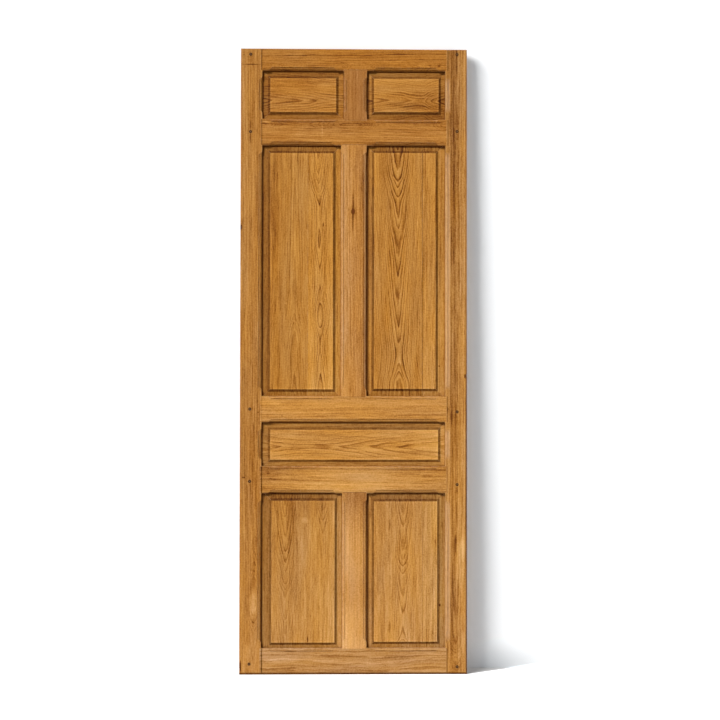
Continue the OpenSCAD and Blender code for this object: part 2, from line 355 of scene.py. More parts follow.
def round_the_field(g, spot, field, opening, margins, grime):
    """Patina and painted shade on the slopes and margins round a field, painted shadow in the opening's left
    and top corners, dirt and painted shade along its right edge, residue on the mitres, and a painted
    highlight on the field's rim.
    """
    left, right, _, top = opening
    beyond, sides, mitre = margins_of(g, spot, field)
    on_slope = g.fit(beyond, *SLOPE_END, 1.0, 0.0)
    dirt_and_shade = 0.0
    for side, share in sides.items():
        depth = g.fit(on_slope, 0.0, 1.0, margins[side], SLOPE_PATINA[side])
        dirt_and_shade = g.add(g.mul(share, depth), dirt_and_shade)
    dirt_and_shade = g.mul(dirt_and_shade, g.fit(grime, *WIDE_LEVELS, *PATINA_SHARES))
    # Painted shadow and dirt along the opening's left and top edges, where the frame's edges shade the margin
    inset = MUNTIN_CORNER if left > INNER_LEFT else STILE_CORNER
    corner_shadow = g.math("MINIMUM", g.sub(spot.x, left + inset), g.sub(top - STILE_CORNER, spot.z))
    dirt_and_shade = g.most(dirt_and_shade, g.fit(corner_shadow, -CORNER_SOFT, CORNER_SOFT, 1.0, 0.0))
    # Dirt and painted shade in the crevice along the opening's right edge
    dirt_and_shade = g.most(dirt_and_shade, g.fit(g.sub(right, spot.x), *RIGHT_REACH, RIGHT_CREVICE_DARK, 0.0))
    # Painted highlight on the rim just inside the field's edge
    rim = g.mul(g.fit(beyond, *RIM_HIGHLIGHT_START), g.fit(beyond, 0.0, FIELD_SOFT, 1.0, 0.0))
    return dirt_and_shade, g.mul(mitre, g.fit(grime, *MITRE_LEVELS)), rim


def peg_distance(g, x, z):
    """Distance from the axis of the nearest peg."""
    nearest = None
    for peg_x, peg_z in PEGS:
        u = g.sub(x, peg_x)
        v = g.sub(z, peg_z)
        away = g.math("MULTIPLY_ADD", u, u, g.mul(v, v))
        nearest = away if nearest is None else g.math("MINIMUM", nearest, away)
    return g.math("SQRT", nearest)


def ellipse(g, spot, mark_x, mark_z, half_x, half_z):
    """One at the middle of an ellipse, falling to zero at its edge."""
    u = g.mul(g.sub(spot.x, mark_x), 1 / half_x)
    v = g.mul(g.sub(spot.z, mark_z), 1 / half_z)
    return g.fit(g.math("MULTIPLY_ADD", u, u, g.mul(v, v)), 0.0, 1.0, 1.0, 0.0, smooth=True)


Spot = namedtuple("Spot", "place x y z across along normal_x normal_z normal_along")


def spot_of(g, grain):
    """Where a point of a board lies, in the row's frame and along its grain, and which way it faces."""
    place = g.node("ShaderNodeTexCoord").outputs["Object"]
    x, y, z = g.split(place)
    normal_x, _, normal_z = g.split(g.node("ShaderNodeNewGeometry").outputs["Normal"])
    if grain == "Z":
        return Spot(place, x, y, z, x, z, normal_x, normal_z, normal_z)
    return Spot(place, x, y, z, z, x, normal_x, normal_z, normal_x)


# How strongly patches, specks and flecks change the tone
PATCHES = 0.08
SPECKS = 0.2
FLECKS = 0.22
FLECK_LEVELS = (0.66, 0.76)
# End grain: how squarely a face has to cut the grain, how much darker it is, and how strong its dashes are
END_LEVELS = (0.05, 0.8)
END_DARKENING = 0.15
DASHES = 0.4


def wood_value(g, figure, spot, shades, marks):
    """Tone of clean wood from dark to light, and the late wood and streaks that also stand up a little."""
    seed = figure["seed"]
    across, along = spot.across, spot.along
    late, early, wander = figure_lines(g, figure, spot)
    for other in figure.get("others", ()):
        late = g.most(late, figure_lines(g, {**figure, **other}, spot)[0])
    lines = g.mul(streaks(g, seed, spot, wander), figure["fine"])
    patch = g.signed(g.cell(across, along, PATCH_WAVES, seed + LAYERS["patch"]), detail=3.0)
    specks = g.signed(spot.place, SPECK_WAVES, detail=1.0)
    fleck_noise = g.noise(g.cell(across, along, FLECK_WAVES, seed + LAYERS["flecks"]), detail=1.0)
    value = g.add(
        MEAN_VALUE,
        g.mul(late, -figure["late"]),
        g.mul(early, figure["early"]),
        lines,
        g.mul(patch, PATCHES),
        g.mul(specks, SPECKS),
        g.mul(g.fit(fleck_noise, *FLECK_LEVELS), -FLECKS),
    )
    for way, place in (("along", along), ("across", across)):
        if way in shades:
            value = g.add(value, g.curve(place, shades[way]))
    end = g.fit(g.math("ABSOLUTE", spot.normal_along), *END_LEVELS)
    dash_places = [g.mul(place, waves) for place, waves in zip((across, spot.y, along), DASH_WAVES)]
    dashes = g.signed(g.vector(*dash_places))
    value = g.add(value, g.mul(end, -END_DARKENING), g.mul(g.mul(end, dashes), DASHES))
    for *sizes, change in marks:
        mark = ellipse(g, spot, *[size * MM for size in sizes])
        value = g.add(value, g.mul(mark, change))
    return value, late, lines


HUE_LEVELS = (0.3, 0.7)


def wood_colour(g, value, seed, tone, spot):
    """Colour of clean wood: its tone, a slow change of hue, and the board's own mean."""
    hue = g.noise(g.cell(spot.across, spot.along, HUE_WAVES, seed + LAYERS["hue"]), detail=3.0)
    hues = g.ramp(hue, list(zip(HUE_LEVELS, (GOLDEN_SHARES, ROSY_SHARES))))
    colour = g.blend(1.0, g.ramp(value, WOOD_STOPS), hues, "MULTIPLY")
    tone_shares = [own / mean for own, mean in zip(linear(tone), MEAN_TONE)]
    return g.blend(1.0, colour, tuple(tone_shares), "MULTIPLY")


# Dirt and painted shade in crevices: how near another surface has to be, and how much of the view it has to
# shut off
HOLLOW_REACH = 0.005
HOLLOW_LEVELS = (0.25, 0.6)
# How squarely a face has to look up and left, towards the key, to get painted shade that tones it down and
# pale residue
LIT_SIDE_LEVELS = (0.2, 0.9)
# Heights above an opening between which the painted shade under the rail's lower edge fades out
EAVES = (0.001, 0.0085)
EAVES_SHADE = 0.65
# How dirt and painted shade fade at the ends of a line, away from a seam, and round a peg
END_SOFT = 0.002
SEAM_REACH = (0.0012, 0.0034)
HALO_W = 0.0022
# Soft edges of a strip of residue
STRIP_SOFT_X = 0.001
STRIP_SOFT_Z = 0.01
# Painted shade along the bottom edge, and a painted shadow line along the right edge up to the height where
# it thins out
FOOT_Z = (0.004, 0.008)
FOOT_BOARDS = ("left_stile", "right_stile", "bottom_rail")
EDGE_INSETS = (0.006, 0.003)
EDGE_Z = (0.9, 1.3)
EDGE_SHARES = (1.0, 0.45)


def framing_dirt_and_shade(g, name, spot, dirt_and_shade, seams, grime):
    """Adds painted shade under the rails above the openings, dirt round the pegs and along the joints and
    seams, and painted shade on two outer edges.
    """
    for left, right, _, top in OPENINGS.values():
        # Painted shade under the lower edge of a rail, above each opening
        if name in RAILS and RAIL_Z[name][0] == top:
            eaves_shade = g.fit(g.sub(spot.z, top), *EAVES, EAVES_SHADE, 0.0)
            eaves_shade = g.mul(eaves_shade, g.fit(grime, *GRIME_LEVELS, *EAVES_SHARES))
            dirt_and_shade = g.most(dirt_and_shade, g.mul(g.within(spot.x, left, right, END_SOFT), eaves_shade))
    if name.endswith("_stile"):
        halo = g.fit(peg_distance(g, spot.x, spot.z), PEG_R, PEG_R + HALO_W, 1.0, 0.0)
        dirt_and_shade = g.most(dirt_and_shade, g.mul(halo, g.fit(grime, *GRIME_LEVELS, *HALO_SHARES)))
    for axis, line_at, strength, low, high in seams:
        across, level = (spot.x, spot.z) if axis == "X" else (spot.z, spot.x)
        line = g.fit(g.away(across, line_at), *SEAM_REACH, 1.0, 0.0)
        line = g.mul(line, g.within(level, low, high, END_SOFT))
        depth = g.fit(grime, *GRIME_LEVELS, strength * SEAM_LEAST_SHARE, strength)
        dirt_and_shade = g.most(dirt_and_shade, g.mul(line, depth))
    # Painted shade along the bottom edge
    if name in FOOT_BOARDS:
        dirt_and_shade = g.most(dirt_and_shade, g.fit(spot.z, *FOOT_Z, 1.0, 0.0))
    # Painted shadow line along the right outer edge, fading out upwards
    if name == "right_stile":
        edge = g.fit(spot.x, *[DOOR_RIGHT - inset for inset in EDGE_INSETS])
        dirt_and_shade = g.most(dirt_and_shade, g.mul(edge, g.fit(spot.z, *EDGE_Z, *EDGE_SHARES)))
    return dirt_and_shade


# Wear on outer corners: how deep it reaches, and how thin the wood behind a point has to be
WORN_REACH = 0.0025
WORN_VIEW = (0.55, 0.95)
GRIME_ROUGHNESS = 0.6
# Sheen and relief of waxed wood
ROUGH_LEVELS = (0.2, 1.2)
ROUGHNESS = (0.55, 0.85)
SPECULAR = 0.12
BUMP_STRENGTH = 0.25
BUMP_DISTANCE = 0.0008
LATE_BUMP_SHARE = 0.5


def pine(name, grain, figure, tone, shades, panel, marks, seams, strips):
    """Material of one board: clean wood with its own figure, then dirt and painted shade, then wear, residue
    and painted highlights.
    """
    g = Graph("pine_" + name)
    figure = {**FIGURE_DEFAULTS, **figure}
    spot = spot_of(g, grain)
    value, late, lines = wood_value(g, figure, spot, shades, marks)
    colour = wood_colour(g, value, figure["seed"], tone, spot)

    grime = g.noise(spot.place, GRIME_WAVES, detail=3.0, roughness=GRIME_ROUGHNESS)
    # Dirt and painted shade in crevices, where nearby surfaces shut off the view
    shut = g.node("ShaderNodeAmbientOcclusion", samples=6)
    shut.inputs["Distance"].default_value = HOLLOW_REACH
    hollow = g.fit(shut.outputs["AO"], *HOLLOW_LEVELS, 1.0, 0.0)
    dirt_and_shade = g.mul(hollow, g.fit(grime, *WIDE_LEVELS, *HOLLOW_SHARES))
    if panel:
        # Patina and painted shade round the field, painted shadow in its corners, and a painted highlight on
        # its rim
        patina_and_shade, pale, rim = round_the_field(g, spot, *panel, grime)
        dirt_and_shade = g.most(dirt_and_shade, patina_and_shade)
        colour = g.blend(rim, colour, RIM_HIGHLIGHT_SHARES, "MULTIPLY")
    else:
        # Painted shade tones down faces turned up and left towards the key; pale residue lies on them too
        lit_side = g.fit(g.sub(spot.normal_z, spot.normal_x), *LIT_SIDE_LEVELS)
        dirt_and_shade = g.most(dirt_and_shade, g.mul(lit_side, g.fit(grime, *GRIME_LEVELS, *LIT_SIDE_SHARES)))
        pale = g.mul(lit_side, g.fit(grime, *RESIDUE_LEVELS))
    dirt_and_shade = framing_dirt_and_shade(g, name, spot, dirt_and_shade, seams, grime)
    # Dirt and painted shade darken the colour together
    colour = g.blend(g.math("MINIMUM", dirt_and_shade, 1.0), colour, DIRT_AND_SHADE_SHARES, "MULTIPLY")

    # Pale residue in strips, and a painted highlight on the middle muntin's arris
    for strip_x, strip_z, half_x, half_z in strips:
        beside = g.fit(g.away(spot.x, strip_x), half_x - STRIP_SOFT_X, half_x + STRIP_SOFT_X, 1.0, 0.0)
        level = g.fit(g.away(spot.z, strip_z), half_z - STRIP_SOFT_Z, half_z + STRIP_SOFT_Z, 1.0, 0.0)
        residue = g.fit(grime, *STRIP_LEVELS, *STRIP_SHARES)
        pale = g.most(pale, g.mul(g.mul(beside, level), residue))
    thin = g.node("ShaderNodeAmbientOcclusion", samples=4, inside=True, only_local=True)
    thin.inputs["Distance"].default_value = WORN_REACH
    worn = g.mul(g.fit(thin.outputs["AO"], *WORN_VIEW, 1.0, 0.0), g.fit(grime, *WORN_LEVELS))
    colour = g.blend(g.mul(g.most(worn, pale), PALE_SHARE), colour, PALE)

    shader = g.node("ShaderNodeBsdfPrincipled")
    g.put(shader.inputs["Base Color"], colour)
    g.put(shader.inputs["Roughness"], g.fit(g.add(value, dirt_and_shade), *ROUGH_LEVELS, *ROUGHNESS))
    shader.inputs["Specular IOR Level"].default_value = SPECULAR
    bump = g.node("ShaderNodeBump")
    bump.inputs["Strength"].default_value = BUMP_STRENGTH
    bump.inputs["Distance"].default_value = BUMP_DISTANCE
    g.put(bump.inputs["Height"], g.add(g.mul(late, LATE_BUMP_SHARE), lines))
    g.put(shader.inputs["Normal"], bump.outputs[0])
    return g.finish(shader.outputs[0])


STRAIGHT = [(0.0, 0.0), (2.1, 1.6)]
ACROSS = [(-0.4, 0.0), (0.4, 1.1)]


def plain(seed, axis, taper=STRAIGHT, **more):
    """A board with long straight rings."""
    figure = dict(seed=seed, axis=[(0, axis)], tips=taper, late=0.2, early=0.04, reach=1.0, flank=1.0)
    figure.update(more)
    return figure


# Where the points of the cathedral figure lie along a board, and how many rings in each is
UPPER_RIGHT_TIPS = [
    (0.9, 6.5), (0.975, 7), (1.0, 8), (1.035, 9), (1.075, 9.6), (1.12, 9), (1.205, 8), (1.29, 7), (1.39, 6),
    (1.46, 5), (1.51, 4), (1.585, 3), (1.615, 2), (1.65, 1), (1.675, 0), (1.79, -2)]
UPPER_LEFT_OUTER_TIPS = [
    (0.9, 0), (0.975, 1), (1.1, 2), (1.16, 3), (1.19, 4), (1.25, 5), (1.4, 5.8), (1.79, 6.6)]
UPPER_LEFT_INNER_TIPS = [
    (0.9, 2), (0.975, 3), (1.045, 4), (1.1, 4.6), (1.145, 4), (1.17, 3), (1.195, 2.6), (1.225, 3), (1.265, 4),
    (1.33, 4.7), (1.395, 4), (1.46, 3.4), (1.53, 3.8), (1.6, 3), (1.625, 2), (1.66, 1), (1.705, 0),
    (1.79, -1.6)]
LOWER_LEFT_TIPS = [
    (0.08, 9), (0.165, 8), (0.21, 7), (0.265, 6), (0.29, 5), (0.31, 4), (0.35, 3), (0.39, 2), (0.43, 1),
    (0.48, 0), (0.61, -2)]
LOWER_LEFT_SIDE_TIPS = [(0.08, 3.2), (0.45, 2.6), (0.49, 2), (0.53, 1), (0.56, 0), (0.61, -1)]
LOWER_RIGHT_TIPS = [
    (0.07, 5), (0.105, 6), (0.125, 7), (0.18, 7.6), (0.235, 7), (0.31, 6), (0.345, 5), (0.365, 4), (0.395, 3),
    (0.47, 2), (0.525, 1), (0.61, -0.5)]
LOCK_TIPS = [(-0.31, 3), (-0.14, 4), (-0.02, 3.4), (0.085, 2), (0.2, 1), (0.32, 0)]
TOP_RAIL_TIPS = [
    (-0.38, 0), (-0.27, 4), (-0.2, 1), (-0.05, 2), (0.02, 6), (0.1, 2), (0.22, 4), (0.29, 8), (0.38, 4)]
FRIEZE_TIPS = [
    (-0.38, 0), (-0.28, 3), (-0.2, 7), (-0.1, 3), (0, 0), (0.05, 3), (0.15, 8), (0.3, 2), (0.38, 0)]
TOP_LEFT_TIPS = [(-0.31, 0), (-0.245, 1), (-0.15, 2), (-0.105, 3), (-0.03, 3.6)]
TOP_RIGHT_TIPS = [(0.04, 0.4), (0.085, 1), (0.155, 2), (0.225, 3.1), (0.25, 2), (0.27, 1), (0.32, -0.4)]

LEFT_STILE_TIPS = [
    (0, 6), (0.14, 4), (0.165, 3), (0.18, 2), (0.21, 1), (0.26, 0), (0.29, 0), (0.33, 1), (0.38, 2.5),
    (0.46, 4), (0.6, 5), (2.1, 6)]
RIGHT_STILE_TIPS = [
    (0, 5), (0.04, 3), (0.062, 2), (0.076, 1), (0.086, 0), (0.12, -1), (0.25, -2), (0.4, -2.6), (2.1, -3)]

FIGURES = {
    "left_stile": (
        "Z", plain(1.3, -0.47, spacing=0.010, late=0.3,
                   others=[dict(axis=[(0, -0.334)], tips=LEFT_STILE_TIPS, spacing=0.007, least=0.7,
                                reach=0.022, flank=0.0)])),
    "right_stile": (
        "Z", plain(2.9, 0.48, spacing=0.011, late=0.3,
                   others=[dict(axis=[(0, 0.346)], tips=RIGHT_STILE_TIPS, spacing=0.008, rounding=0.012,
                                least=1.0, onset=0.35, reach=0.026, flank=0.0)])),
    "top_rail": (
        "X", plain(3.7, 2.2, ACROSS, spacing=0.009, late=0.35,
                   others=[dict(axis=[(0, 2.039)], tips=TOP_RAIL_TIPS, spacing=0.006, reach=0.02,
                                flank=0.0)])),
    "frieze_rail": (
        "X", plain(5.1, 1.66, ACROSS, spacing=0.010, late=0.35, fine=1.25,
                   others=[dict(axis=[(0, 1.846)], tips=FRIEZE_TIPS, spacing=0.006, reach=0.02,
                                flank=0.0)])),
    "upper_lock_rail": ("X", plain(6.7, 1.02, ACROSS, spacing=0.012, fine=0.8)),
    "lower_lock_rail": ("X", plain(7.9, 0.52, ACROSS, spacing=0.011)),
    "bottom_rail": (
        "X", plain(9.1, -0.10, ACROSS, spacing=0.02, sway=0.03, ripple=0.012, late=0.4, early=0.1)),
    "top_muntin": ("Z", plain(10.3, 0.09, spacing=0.010, fine=0.7)),
    "middle_muntin": ("Z", plain(11.9, -0.12, spacing=0.011)),
    "bottom_muntin": ("Z", plain(13.1, 0.12, spacing=0.010, late=0.1, fine=0.5)),
    "top_left_panel": ("X", dict(seed=14.9, axis=[(0, 1.926)], tips=TOP_LEFT_TIPS, late=0.85, onset=0.4)),
    "top_right_panel": ("X", dict(seed=16.3, axis=[(0, 1.927)], tips=TOP_RIGHT_TIPS, late=0.85, onset=0.4)),
    "upper_left_panel_outer_board": (
        "Z", dict(seed=17.7, axis=[(0, -0.198)], tips=UPPER_LEFT_OUTER_TIPS, late=0.35)),
    "upper_left_panel_inner_board": (
        "Z", dict(seed=19.1, axis=[(0.9, -0.111), (1.79, -0.121)], tips=UPPER_LEFT_INNER_TIPS, spacing=0.007,
                  late=0.45)),
    "upper_right_panel_inner_board": (
        "Z", dict(seed=20.3, axis=[(0.9, 0.153), (1.79, 0.146)], tips=UPPER_RIGHT_TIPS, spacing=0.010,
                  curl=0.12, rounding=0.007, late=0.95, early=0.15, onset=0.35, uneven=1.2, reach=0.05,
                  flank=0.35)),
    "upper_right_panel_outer_board": ("Z", plain(21.7, 0.33, spacing=0.012)),
    "lock_panel": ("X", dict(seed=23.3, axis=[(0, 0.759)], tips=LOCK_TIPS, spacing=0.013, late=0.45)),
    "lower_left_panel": (
        "Z", dict(seed=24.7, axis=[(0, -0.226)], tips=LOWER_LEFT_TIPS, late=0.38,
                  others=[dict(axis=[(0, -0.102)], tips=LOWER_LEFT_SIDE_TIPS, reach=0.025, flank=0.0)])),
    "lower_right_panel_inner_board": (
        "Z", dict(seed=26.1, axis=[(0, 0.167)], tips=LOWER_RIGHT_TIPS, spacing=0.010, curl=0.05,
                  rounding=0.011, late=0.4, onset=0.45, reach=0.04, flank=0.3)),
    "lower_right_panel_outer_board": ("Z", plain(27.9, 0.248, spacing=0.011)),
}

# Mean tone of each board
TONES = {
    "left_stile": (177, 121, 54),
    "right_stile": (182, 128, 62),
    "top_rail": (175, 114, 41),
    "frieze_rail": (172, 113, 45),
    "upper_lock_rail": (189, 132, 62),
    "lower_lock_rail": (187, 131, 61),
    "bottom_rail": (177, 128, 71),
    "top_muntin": (166, 109, 49),
    "middle_muntin": (184, 127, 62),
    "bottom_muntin": (194, 139, 74),
    "top_left_panel": (178, 118, 46),
    "top_right_panel": (178, 119, 47),
    "upper_left_panel_outer_board": (178, 120, 47),
    "upper_left_panel_inner_board": (190, 131, 54),
    "upper_right_panel_inner_board": (182, 124, 51),
    "upper_right_panel_outer_board": (185, 128, 56),
    "lock_panel": (190, 133, 60),
    "lower_left_panel": (179, 125, 58),
    "lower_right_panel_inner_board": (185, 131, 64),
    "lower_right_panel_outer_board": (190, 138, 71),
}

# Slow change of tone along a board and across it, as places and changes
SHADES = {
    "left_stile": {"along": [(0.1, 0.08), (0.3, 0), (1.2, -0.04), (1.6, 0)]},
    "right_stile": {
        "along": [(0.1, 0), (0.5, 0.02), (0.9, 0), (1.2, 0.03), (1.5, -0.03), (1.75, -0.1), (2.0, -0.1)],
        "across": [(0.324, 0), (0.328, -0.12), (0.337, -0.12), (0.347, 0.02), (0.36, 0.07), (0.378, 0.12)],
    },
    "frieze_rail": {"across": [(1.78, -0.04), (1.81, 0.07), (1.85, -0.05)]},
    "lower_lock_rail": {
        "along": [(-0.3, -0.15), (-0.2, -0.05), (-0.05, 0.1), (0.05, 0.1), (0.15, 0), (0.3, -0.07)],
        "across": [(0.61, 0.02), (0.635, 0.08), (0.66, 0.03), (0.685, -0.1)],
    },
    "bottom_rail": {"along": [(-0.3, 0.03), (0, 0), (0.06, 0), (0.15, 0.03), (0.22, 0.04)]},
    "middle_muntin": {"across": [(-0.04, 0.15), (-0.02, 0.04), (0.01, -0.04), (0.035, -0.1)]},
    "bottom_muntin": {
        "along": [(0.1, 0.17), (0.2, 0.08), (0.27, -0.03), (0.4, 0.04), (0.5, -0.05), (0.58, -0.2)],
        "across": [(-0.035, 0.09), (0, 0), (0.035, -0.07)],
    },
    "top_left_panel": {"along": [(-0.28, -0.04), (-0.15, 0), (-0.06, 0.07)]},
    "upper_left_panel_inner_board": {"along": [(0.95, 0.08), (1.3, 0), (1.75, -0.06)]},
    "top_right_panel": {
        "along": [(0.07, 0.04), (0.17, 0), (0.29, -0.06)],
        "across": [(1.89, -0.08), (1.94, 0), (2.0, 0.1)],
    },
    "upper_left_panel_outer_board": {"across": [(-0.28, -0.06), (-0.17, 0.06)]},
    "upper_right_panel_outer_board": {"along": [(0.95, 0.07), (1.2, 0.03), (1.45, -0.06), (1.75, -0.02)]},
    "lock_panel": {"along": [(0.2, -0.02), (0.28, 0.1)]},
    "lower_left_panel": {
        "along": [(0.1, 0.07), (0.35, 0.02), (0.5, -0.03), (0.58, -0.11)],
        "across": [(-0.27, 0), (-0.24, -0.03), (-0.2, -0.05), (-0.17, 0.02), (-0.1, 0.06), (-0.065, 0.12)],
    },
    "lower_right_panel_inner_board": {"along": [(0.1, 0.03), (0.4, 0), (0.57, -0.07)]},
}

# Knots, stains, scratches and pale spots of each board: X, Z and half sizes in millimetres, change of tone
MARKS = {
    "left_stile": [
        (-346, 2047, 38, 2.5, -0.5),
        (-347, 2070, 4, 30, -0.2),
        (-371, 2079, 3, 3, -0.3),
        (-381, 1497, 8, 11, -0.7),
        (-379, 1497, 4, 40, -0.2),
        (-348, 1800, 3, 24, -0.3),
        (-348, 1842, 3, 18, -0.25),
        (-330, 1890, 2.5, 95, 0.2),
        (-324, 1880, 2, 95, 0.15),
        (-335, 920, 2.5, 135, 0.14),
        (-320, 875, 3, 4, -0.4),
        (-368, 657, 7, 4, -0.45),
        (-334, 240, 20, 84, -0.14),
        (-334, 238, 17, 62, 0.46),
        (-336, 172, 7, 6, -0.16),
        (-333, 346, 9, 5, -0.16),
        (-354, 245, 9, 90, -0.14),
        (-352, 120, 8, 34, -0.16),
        (-355, 68, 18, 46, 0.14),
        (-377, 27, 4, 26, -0.7),
        (-356, 384, 8, 100, -0.08),
    ],
    "right_stile": [
        (347, 2086, 3, 18, -0.7),
        (347, 2045, 4, 52, -0.22),
        (317, 1975, 2.5, 18, -0.45),
        (349, 1870, 6, 54, -0.16),
        (348, 1803, 3, 18, -0.2),
        (317, 885, 3, 14, -0.35),
        (330, 860, 8, 32, -0.16),
        (321, 804, 2.5, 26, 0.3),
        (348, 618, 3, 20, -0.3),
        (346, 58, 17, 20, 0.14),
        (368, 110, 9, 46, 0.18),
        (366, 415, 14, 48, 0.24),
        (340, 430, 8, 44, -0.16),
        (347, 255, 10, 90, -0.14),
        (375, 997, 4, 10, -0.7),
        (360, 384, 13, 200, 0.12),
        (333, 250, 4, 135, -0.1),
    ],
    "middle_muntin": [
        (-3, 1551, 8, 13, -0.8),
        (-3, 1552, 3.5, 5, 0.4),
        (-3, 1582, 4, 46, -0.3),
        (-4, 1517, 4, 50, -0.3),
        (-3, 1551, 17, 30, -0.16),
    ],
    "frieze_rail": [
        (-107, 1822, 2, 36, 0.26),
        (-298, 1854, 14, 3, 0.25),
        (-298, 1847, 14, 2.5, -0.25),
        (-250, 1848, 42, 7, -0.12),
        (-10, 1840, 40, 6, 0.1),
        (287, 1852, 12, 3, -0.35),
    ],
    "top_rail": [
        (6, 2052, 34, 5, 0.16),
        (-284, 2044, 46, 4, 0.14),
        (287, 2044, 7, 5, -0.35),
        (258, 2047, 7, 3, -0.2),
    ],
    "upper_lock_rail": [
        (-260, 905, 27, 7, 0.1),
        (-240, 863, 3.5, 3, -0.4),
        (-281, 921, 27, 13, 0.1),
    ],
    "lower_lock_rail": [
        (-285, 671, 7, 4, -0.3),
        (-263, 653, 30, 10, -0.1),
        (249, 663, 23, 7, -0.2),
    ],
    "bottom_rail": [
        (-211, 76, 27, 3, -0.35),
        (-235, 48, 75, 12, 0.16),
        (-190, 26, 90, 8, -0.14),
        (-60, 60, 80, 10, -0.1),
        (70, 30, 90, 9, 0.12),
        (160, 58, 70, 8, -0.12),
        (256, 50, 17, 5, -0.15),
        (-11, 47, 200, 8, 0.08),
    ],
    "upper_right_panel_outer_board": [(288, 1031, 3.5, 4, -0.6)],
    "lower_right_panel_outer_board": [(290, 229, 4, 6, -0.8), (246, 114, 3, 47, -0.2)],
    "upper_left_panel_outer_board": [
        (-266, 1594, 20, 235, -0.12),
        (-228, 1241, 7, 5, 0.2),
        (-158, 1502, 2.5, 14, -0.4),
    ],
    "upper_left_panel_inner_board": [(-103, 1506, 2.5, 9, -0.5)],
    "lower_left_panel": [(-162, 513, 17, 13, 0.2), (-153, 116, 2.5, 13, -0.6)],
    "lower_right_panel_inner_board": [(122, 498, 3, 27, -0.3), (122, 158, 5, 27, -0.3)],
    "lock_panel": [(-106, 760, 37, 11, -0.16), (155, 760, 54, 10, -0.12)],
    "top_left_panel": [
        (-130, 1926, 27, 7, -0.24),
        (-196, 1927, 44, 9, 0.12),
        (-98, 1971, 34, 17, 0.1),
    ],
    "top_right_panel": [(225, 1929, 20, 10, -0.12)],
}

# Edges of the framing
DOOR_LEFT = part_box("left_stile")[0].x
DOOR_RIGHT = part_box("right_stile")[1].x
DOOR_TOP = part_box("left_stile")[1].z
INNER_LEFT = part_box("left_stile")[1].x
INNER_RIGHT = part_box("right_stile")[0].x


def span_x(name):
    low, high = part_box(name)
    return low.x, high.x


def span_z(name):
    low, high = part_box(name)
    return low.z, high.z


RAILS = ("bottom_rail", "lower_lock_rail", "upper_lock_rail", "frieze_rail", "top_rail")
RAIL_Z = {rail: span_z(rail) for rail in RAILS}
TOP_ROW = (RAIL_Z["frieze_rail"][1], RAIL_Z["top_rail"][0])
UPPER_ROW = (RAIL_Z["upper_lock_rail"][1], RAIL_Z["frieze_rail"][0])
LOCK_ROW = (RAIL_Z["lower_lock_rail"][1], RAIL_Z["upper_lock_rail"][0])
LOWER_ROW = (RAIL_Z["bottom_rail"][1], RAIL_Z["lower_lock_rail"][0])
OPENINGS = {
    "top_left": (INNER_LEFT, span_x("top_muntin")[0], *TOP_ROW),
    "top_right": (span_x("top_muntin")[1], INNER_RIGHT, *TOP_ROW),
    "upper_left": (INNER_LEFT, span_x("middle_muntin")[0], *UPPER_ROW),
    "upper_right": (span_x("middle_muntin")[1], INNER_RIGHT, *UPPER_ROW),
    "lock": (INNER_LEFT, INNER_RIGHT, *LOCK_ROW),
    "lower_left": (INNER_LEFT, span_x("bottom_muntin")[0], *LOWER_ROW),
    "lower_right": (span_x("bottom_muntin")[1], INNER_RIGHT, *LOWER_ROW),
}

# Pegs: distance from the outer edges, and height as a share of each rail's height from the bottom rail up
PEG_INSET = 0.033
PEG_R = 0.0045
LEFT_PEG_SHARES = (0.4, 0.44, 0.5, 0.51, 0.74)
RIGHT_PEG_SHARES = (0.28, 0.32, 0.4, 0.55, 0.78)
PEGS = []
for rail, left_share, right_share in zip(RAILS, LEFT_PEG_SHARES, RIGHT_PEG_SHARES):
    low, high = RAIL_Z[rail]
    PEGS.append((DOOR_LEFT + PEG_INSET, low + left_share * (high - low)))
    PEGS.append((DOOR_RIGHT - PEG_INSET, low + right_share * (high - low)))


# How far behind the foremost point a point of a field may lie
FIELD_FLAT = 0.0002


def panel_of(name):
    """Field, opening and patina of the panel that a node belongs to, or None."""
    for key, opening in OPENINGS.items():
        if name.startswith(key + "_panel"):
            boards = [node.data for other, node in nodes.items() if other.startswith(key + "_panel")]
            points = [vertex.co for mesh in boards for vertex in mesh.vertices]
            front = min(point.y for point in points)
            field = [point for point in points if point.y < front + FIELD_FLAT]
            xs = [point.x for point in field]
            zs = [point.z for point in field]
            margins = {**MARGIN_PATINA_AND_SHADE, **MARGIN_CHANGES.get(key, {})}
            return (min(xs), max(xs), min(zs), max(zs)), opening, margins
    return None


# How dark the joints are: left and right end of each rail, lower and upper end of each muntin
JOINTS = {
    "top_rail": (0.95, 0.7),
    "frieze_rail": (0.65, 0.45),
    "upper_lock_rail": (0.25, 0.5),
    "lower_lock_rail": (1.0, 0.25),
    "bottom_rail": (1.0, 0.65),
    "top_muntin": (0.4, 0.5),
    "middle_muntin": (0.4, 0.6),
    "bottom_muntin": (0.4, 0.6),
}
SHOULDER_SET = 0.004
# The lines at the rails' ends lean a little: their middle offset and their drift from foot to head
LEFT_LINE_SET = 0.0
LEFT_LINE_DRIFT = -0.005
RIGHT_LINE_SET = 0.0075
RIGHT_LINE_DRIFT = 0.003
MIDDLE_SHARE = 0.5

# How dark the glued seam at the left edge of a board is
SEAMS = {
    "upper_left_panel_inner_board": 0.2,
    "upper_right_panel_outer_board": 0.8,
    "lower_right_panel_outer_board": 0.4,
}


def end_line(rail, edge, offset, drift, strength):
    """Dark line at one end of a rail."""
    low, high = RAIL_Z[rail]
    height_share = (low + high) / 2 / DOOR_TOP
    return ("X", edge + offset + drift * (height_share - MIDDLE_SHARE), strength, low, high)


